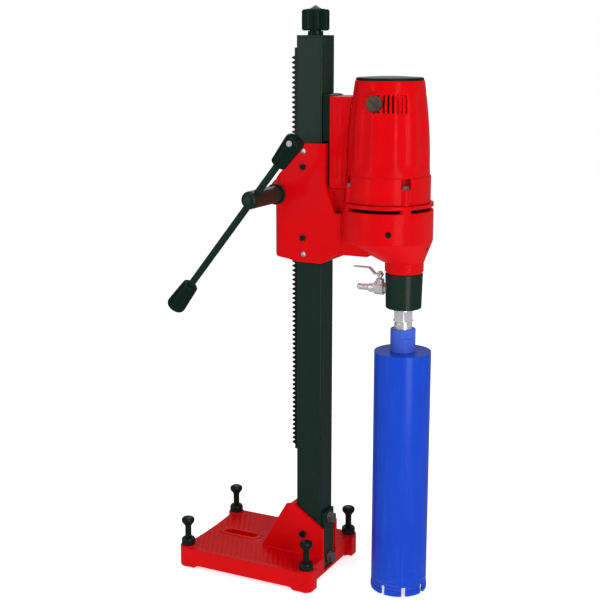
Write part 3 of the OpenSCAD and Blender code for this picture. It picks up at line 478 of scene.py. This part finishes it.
def finished(name, bm, node):
    """A piece from a bmesh that stands for a node and takes its body, slot and finish."""
    bmesh.ops.recalc_face_normals(bm, faces=bm.faces)
    mesh = bpy.data.meshes.new(name)
    bm.to_mesh(mesh)
    bm.free()
    piece = linked(name, mesh)
    dress(piece, node, TURNED_SHARP)


def dress(piece, node, sharp):
    """Gives a piece its node's finish, body and slot. Edges over that many degrees stay sharp."""
    mesh = piece.data
    mesh.materials.clear()
    mesh.materials.append(FINISHES[SLOT_OF[node]])
    mesh.shade_smooth()
    mesh.set_sharp_from_angle(angle=math.radians(sharp))
    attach(piece, BODY_OF[node])
    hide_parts(node)


def soft_cast(node, voxel, shape=None):
    """A skin over a node's form with soft edges, as a casting or a moulding has. voxel is in mm.
    shape(point) returns a new place for each point of the skin."""
    bm = copy_of(node)
    mesh = bpy.data.meshes.new(node + "_skin")
    bm.to_mesh(mesh)
    bm.free()
    piece = linked(node + "_skin", mesh)
    settle(piece,
           ("REMESH", {"mode": "VOXEL", "voxel_size": voxel * MM * COARSE}),
           ("SMOOTH", {"factor": 0.5, "iterations": 4}))
    if shape:
        for vertex in piece.data.vertices:
            vertex.co = shape(vertex.co)
    settle(piece, ("DECIMATE", {"ratio": SKIN_SHARE}))
    dress(piece, node, SKIN_SHARP)


# ---- Pieces ----

def smooth_step(value, low, high):
    """0 below low, 1 above high, and a soft rise between."""
    t = min(1, max(0, (value - low) / (high - low)))
    return t * t * (3 - 2 * t)


def switch_box_shell():
    """The switch box with shallow upright channels in its near face."""
    low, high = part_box("switch_box")
    face, depth = 3.2 * MM, 1.1 * MM

    def channel(point):
        if point.y > low.y + face:
            return point
        across = (point.x - low.x) / (high.x - low.x)
        up = smooth_step(point.z, low.z + 14 * MM, low.z + 22 * MM)
        up *= 1 - smooth_step(point.z, high.z - 14 * MM, high.z - 8 * MM)
        deep = smooth_step(across, 0.08, 0.14) * (1 - smooth_step(across, 0.30, 0.40))
        return Vector((point.x, point.y + depth * deep * up, point.z))

    soft_cast("switch_box", 0.8, channel)


def cast_nodes():
    """Castings and mouldings: each node's own form with soft edges. The number is the grain in mm."""
    grains = {
        "base_casting": 1.0, "carriage_housing": 1.0, "gearbox_housing": 1.0,
        "jack_knob": 0.6, "upper_grip": 0.6, "lower_grip": 0.6, "handle_hub": 0.5, "bearing_caps": 0.5,
        "switch_cover": 0.8, "switch_rocker": 0.35, "cable_gland": 0.4, "brush_caps": 0.3,
        "water_collar": 0.6, "clamp_plate": 0.5, "column_cap": 0.6, "bit_hub": 0.5,
        "valve_body": 0.35, "valve_lever": 0.25, "crown_segments": 0.4, "motor_cap": 0.7,
        "clamp_bolts": 0.3, "cheek_screws": 0.3, "rack_screws": 0.35, "gib_screws": 0.3, "pad_screws": 0.3,
        "head_bolts": 0.3, "oil_plug": 0.3, "motor_bolts": 0.3, "spindle": 0.5, "hose_spigot": 0.25,
        "valve_stem": 0.25, "grip_pin": 0.25, "handle_bar": 0.6, "toothed_rack": 0.55,
    }
    for node, grain in grains.items():
        soft_cast(node, grain)


BRUSH_Z = middle("brush_caps").z
FLUTES = 12
FLUTE_DEPTH = 2.6 * MM


def motor_shell():
    """The motor housing with soft vertical flutes around its barrel."""
    low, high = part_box("motor_housing")
    wall = 7 * MM
    foot, top = low.z + 50 * MM, high.z - 8 * MM
    widest = high.x - MOTOR.x - 2.2 * MM
    taper_start, taper_rate = low.z + 66 * MM, 0.61

    def flute(point):
        away = Vector((point.x - MOTOR.x, point.y - MOTOR.y))
        drawn_in = taper_rate * max(0, point.z - taper_start) ** 2
        if away.length < widest - drawn_in - wall * 0.6 or not foot < point.z < top:
            return point
        around = 0.5 - 0.5 * math.cos(FLUTES * (math.atan2(away.y, away.x) + math.pi / 2))
        fade = smooth_step(point.z, foot, foot + 22 * MM) * (1 - smooth_step(point.z, top - 26 * MM, top))
        near_cap = smooth_step(math.hypot(away.x, point.z - BRUSH_Z), 17 * MM, 22 * MM)
        inward = away.normalized() * FLUTE_DEPTH * around * fade * near_cap
        return Vector((point.x - inward.x, point.y - inward.y, point.z))

    soft_cast("motor_housing", 1.0, flute)


def threaded(radius, pitch, low, high):
    """Points of a thread's outline, close enough together to carry its turns."""
    count = round((high - low) / (pitch / 6))
    return [(radius, low + (high - low) * i / count) for i in range(count + 1)]


def thread_swell(radius, pitch, depth, low, high):
    """How a thread's radius changes around and along it."""
    def swell(a, r, z):
        if r != radius or not low <= z <= high:
            return r
        turn = (z / pitch - a / TURN) % 1
        ends = min(1, (z - low) / pitch, (high - z) / pitch)
        return r - depth * max(0, ends) * (0.5 + 0.5 * math.cos(TURN * turn)) ** 0.8
    return swell


def levelling_screws():
    """Four levelling screws with rolled threads and mushroom heads."""
    for node in [name for name in frame["nodes"] if name.startswith("screw_")]:
        low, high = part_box(node)
        centre = middle(node)
        place = Matrix.Translation((centre.x, centre.y, 0))
        shank, pitch, depth = 6 * MM, 1.75 * MM, 0.6 * MM
        start, end = low.z + 7 * MM, high.z - 20 * MM
        head = [(9, 13.5, 1.5), (11.3, 11.5, 1), (12.4, 8, 2), (12.2, 4, 2), (9, 1.2, 3), (4, 0.2, 2), (0, 0)]
        outline = [Vector((0, low.z)), Vector((3 * MM, low.z + 1 * MM)), Vector((shank, low.z + 6 * MM))]
        outline += [Vector(point) for point in threaded(shank, pitch, start, end)]
        outline += rounded([(shank, high.z - 19 * MM)] + [
            (r * MM, high.z - drop * MM, *(value * MM for value in fillet)) for r, drop, *fillet in head])
        bm = bmesh.new()
        turned(bm, outline, place, thread_swell(shank, pitch, depth, start, end))
        finished(node + "_turned", bm, node)


def jack_thread():
    """The jack's screw with a coarse thread below the knob and a pointed tip."""
    low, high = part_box("jack_screw")
    knob_low, knob_high = (corner.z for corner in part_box("jack_knob"))
    place = Matrix.Translation((COLUMN.x, COLUMN.y, 0))
    radius, pitch, depth = 10 * MM, 3 * MM, 1.1 * MM
    start, end = low.z + 3 * MM, knob_low - 0.4 * MM
    outline = [Vector((0, low.z)), Vector((8 * MM, low.z))]
    outline += [Vector(point) for point in threaded(radius, pitch, start, end)]
    outline += rounded([(radius, knob_low), (radius, knob_high + 0.5 * MM, 0.5 * MM),
                        (7 * MM, knob_high + 2.3 * MM, 0.8 * MM), (1.2 * MM, high.z, 0.6 * MM), (0, high.z)])
    bm = bmesh.new()
    turned(bm, outline, place, thread_swell(radius, pitch, depth, start, end))
    finished("jack_screw_turned", bm, "jack_screw")


# ---- Build ----

add_camera()
FINISHES = make_finishes()
for node, piece in frame["nodes"].items():
    piece.data.materials.clear()
    piece.data.materials.append(FINISHES[SLOT_OF[node]])
cast_nodes()
motor_shell()
switch_box_shell()
levelling_screws()
jack_thread()

add_floor()
add_world()
bpy.context.scene.view_settings.view_transform = "Standard"
add_softbox("key", azimuth=54, elevation=28, distance=2.6, size=(0.55, 1.9), power=15)
add_softbox("fill", azimuth=-32, elevation=14, distance=2.8, size=(0.8, 1.9), power=8)
add_softbox("strip", azimuth=52, elevation=-4, distance=2.4, size=(0.9, 1.5), power=16)
add_softbox("top", azimuth=20, elevation=78, distance=2.6, size=(1.4, 1.4), power=14)
add_softbox("rim", azimuth=205, elevation=40, distance=2.6, size=(1.2, 1.2), power=12)
